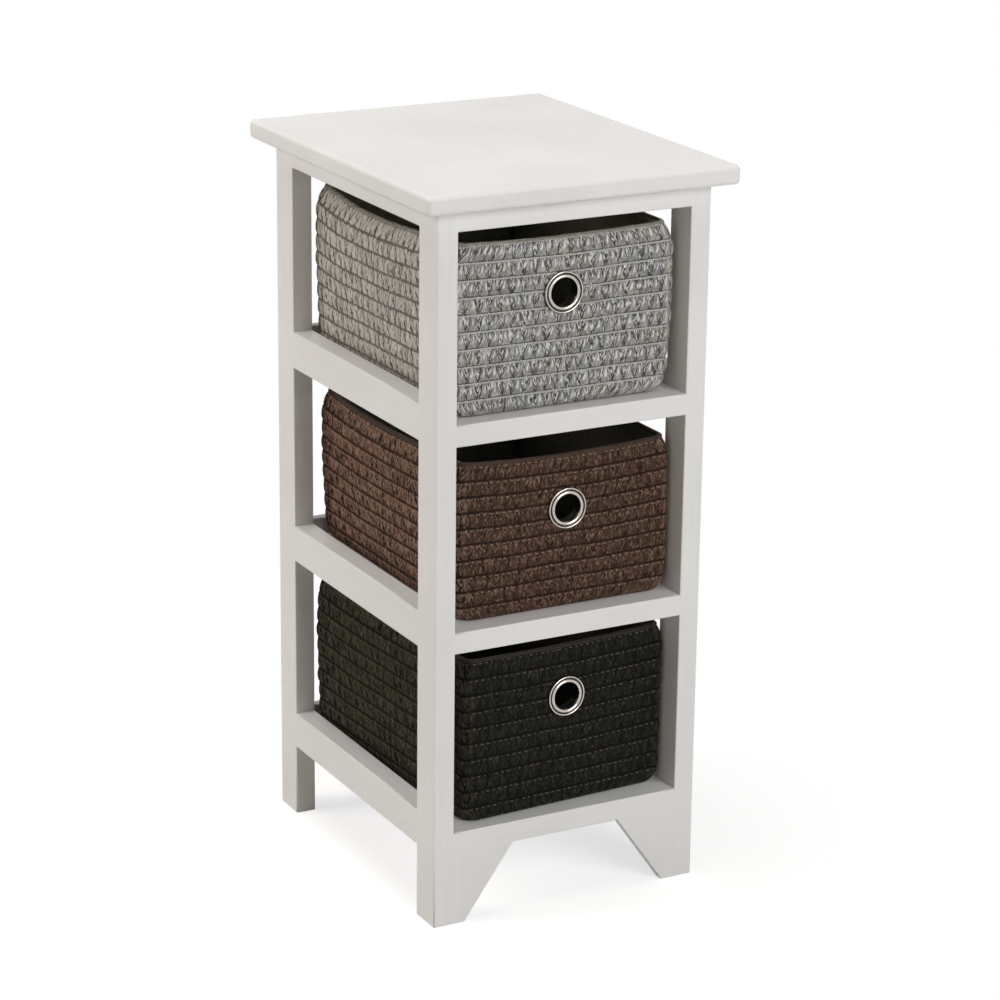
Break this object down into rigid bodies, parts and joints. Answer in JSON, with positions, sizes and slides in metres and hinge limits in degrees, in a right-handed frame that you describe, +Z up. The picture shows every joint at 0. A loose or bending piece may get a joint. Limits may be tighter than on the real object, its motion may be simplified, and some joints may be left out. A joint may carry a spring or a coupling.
{
  "type": "bathroom storage tower",
  "caption": "Narrow white wooden storage tower with open bays one above another, each holding a braided pull-out basket with a metal eyelet pull.",
  "frame": {"origin": "on the floor, under the middle of the top board", "axes": "+Z up, -Y towards the front where the baskets pull out, +X to the right as one faces the front"},
  "size_m": [0.263, 0.313, 0.58],
  "materials": {
    "white_paint": "satin white paint over wood",
    "dowel_wood": "raw beech",
    "zinc_steel": "zinc plated",
    "grey_braid": "flat sewn braid, grey with pale thread",
    "brown_braid": "flat sewn braid, dark brown",
    "black_braid": "flat sewn braid, black",
    "dark_lining": "dark woven lining",
    "base_board": "plain hardboard",
    "nickel": "polished nickel"
  },
  "bodies": {
    "frame": {"top_board": "white_paint", "left_front_post": "white_paint", "right_front_post": "white_paint", "left_rear_post": "white_paint", "right_rear_post": "white_paint", "top_front_rail": "white_paint", "upper_front_rail": "white_paint", "middle_front_rail": "white_paint", "bottom_front_rail": "white_paint", "left_foot_bracket": "white_paint", "right_foot_bracket": "white_paint", "left_top_rail": "white_paint", "left_upper_rail": "white_paint", "left_middle_rail": "white_paint", "left_bottom_rail": "white_paint", "right_top_rail": "white_paint", "right_upper_rail": "white_paint", "right_middle_rail": "white_paint", "right_bottom_rail": "white_paint", "top_back_rail": "white_paint", "upper_back_rail": "white_paint", "middle_back_rail": "white_paint", "bottom_back_rail": "white_paint", "upper_shelf": "white_paint", "middle_shelf": "white_paint", "bottom_shelf": "white_paint", "left_upper_cleat": "white_paint", "left_middle_cleat": "white_paint", "left_bottom_cleat": "white_paint", "right_upper_cleat": "white_paint", "right_middle_cleat": "white_paint", "right_bottom_cleat": "white_paint", "front_rail_dowels": "dowel_wood", "side_rail_dowels": "dowel_wood", "back_rail_dowels": "dowel_wood", "bracket_dowels": "dowel_wood", "top_screws": "zinc_steel", "cleat_screws": "zinc_steel"},
    "grey_basket": {"grey_basket_shell": "grey_braid", "grey_base_board": "base_board", "grey_lining": "dark_lining", "grey_rim_binding": "grey_braid", "grey_eyelet": "nickel", "grey_eyelet_washer": "nickel"},
    "brown_basket": {"brown_basket_shell": "brown_braid", "brown_base_board": "base_board", "brown_lining": "dark_lining", "brown_rim_binding": "brown_braid", "brown_eyelet": "nickel", "brown_eyelet_washer": "nickel"},
    "black_basket": {"black_basket_shell": "black_braid", "black_base_board": "base_board", "black_lining": "dark_lining", "black_rim_binding": "black_braid", "black_eyelet": "nickel", "black_eyelet_washer": "nickel"}
  },
  "joints": [
    {"name": "grey_basket_slide", "type": "slide", "parent": "frame", "child": "grey_basket", "axis": [0, -1, 0], "range_m": [0, 0.13]},
    {"name": "brown_basket_slide", "type": "slide", "parent": "frame", "child": "brown_basket", "axis": [0, -1, 0], "range_m": [0, 0.13]},
    {"name": "black_basket_slide", "type": "slide", "parent": "frame", "child": "black_basket", "axis": [0, -1, 0], "range_m": [0, 0.13]}
  ]
}
